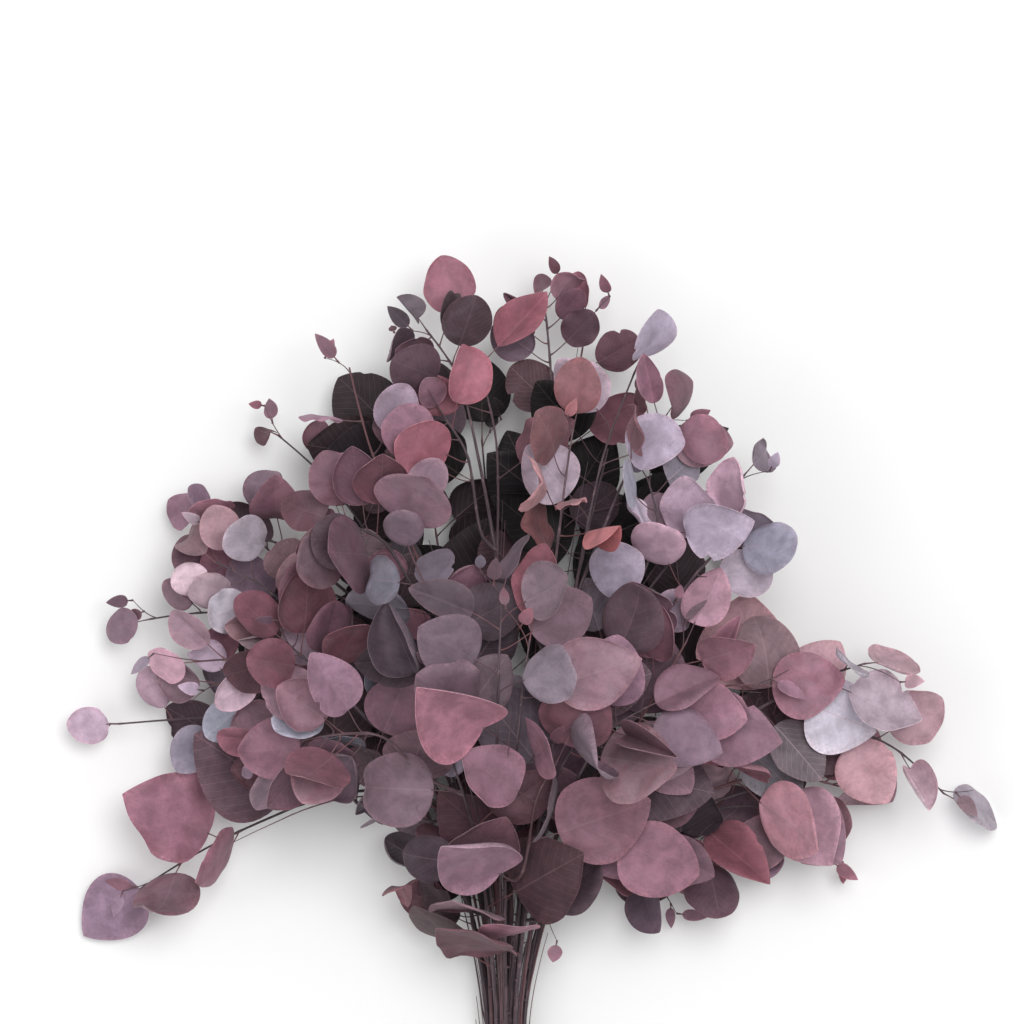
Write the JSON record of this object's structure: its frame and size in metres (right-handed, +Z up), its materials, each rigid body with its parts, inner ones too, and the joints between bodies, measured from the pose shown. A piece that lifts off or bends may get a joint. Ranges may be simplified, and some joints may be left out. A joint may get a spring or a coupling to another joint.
{
  "type": "bunch of preserved poplar",
  "caption": "Tied bunch of dyed, preserved branches with round leaves on long stalks, in dusty rose, mauve, wine and silver tones, lying flat with bare cut stems at one end.",
  "frame": {"origin": "on the surface the bunch lies on, under the middle of its box seen from above", "axes": "+Z up from the surface, +Y along the stems from the cut ends toward the leafy head, +X to the right across the bunch"},
  "size_m": [0.6022, 0.6586, 0.1874],
  "materials": {
    "leaf_rose": "matte",
    "leaf_mauve": "matte",
    "leaf_silver": "matte",
    "leaf_pale": "matte",
    "leaf_red": "matte",
    "leaf_wine": "matte",
    "leaf_plum": "matte",
    "leaf_slate": "matte",
    "leaf_coral": "matte",
    "leaf_deep": "matte",
    "stem_bark": "matte",
    "band_rubber": "matte"
  },
  "bodies": {
    "root": {"branch_front_left": "leaf_plum", "branch_front_centre": "leaf_rose", "branch_front_right": "leaf_plum", "branch_upper_silver": "leaf_silver", "branch_upper_left": "leaf_mauve", "branch_upper_right": "leaf_silver", "branch_upper_rose": "leaf_mauve", "branch_middle_top": "leaf_red", "branch_middle_right": "leaf_silver", "branch_wide_right": "leaf_pale", "branch_middle_left": "leaf_rose", "branch_wide_left": "leaf_mauve", "branch_low_left_far": "leaf_silver", "branch_low_left_top": "leaf_mauve", "branch_low_right_top": "leaf_rose", "branch_low_right_side": "leaf_red", "branch_floor_left": "leaf_plum", "branch_floor_centre": "leaf_deep", "branch_floor_right": "leaf_plum", "elastic_band": "band_rubber"}
  },
  "joints": []
}
